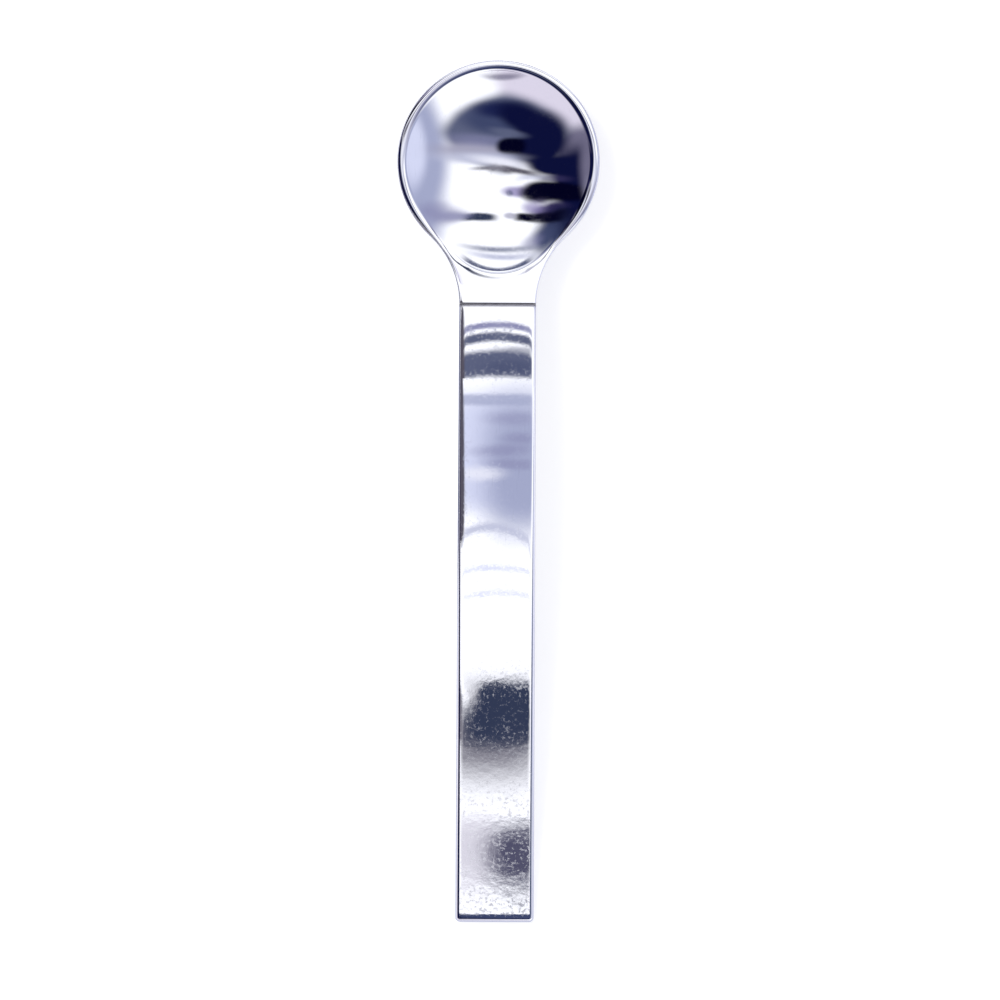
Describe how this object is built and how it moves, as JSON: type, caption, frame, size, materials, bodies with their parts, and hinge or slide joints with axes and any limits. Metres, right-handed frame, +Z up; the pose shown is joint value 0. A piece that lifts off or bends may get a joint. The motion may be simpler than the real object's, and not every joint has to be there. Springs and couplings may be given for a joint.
{
  "type": "teaspoon",
  "caption": "Polished steel teaspoon with a round bowl, a flared neck and a flat arched strip handle, lapped and brazed at the neck.",
  "frame": {"origin": "on the table, under the middle of the spoon's length and width, as it rests bowl up", "axes": "+Y along the spoon from the tail to the bowl's tip, +Z up out of the bowl, +X to the right seen from above with the bowl away from the viewer"},
  "size_m": [0.0328, 0.14, 0.0149],
  "materials": {
    "bowl_steel": "polished",
    "handle_steel": "polished",
    "braze": "satin"
  },
  "bodies": {
    "root": {"bowl": "bowl_steel", "handle": "handle_steel", "braze_seam": "braze"}
  },
  "joints": []
}
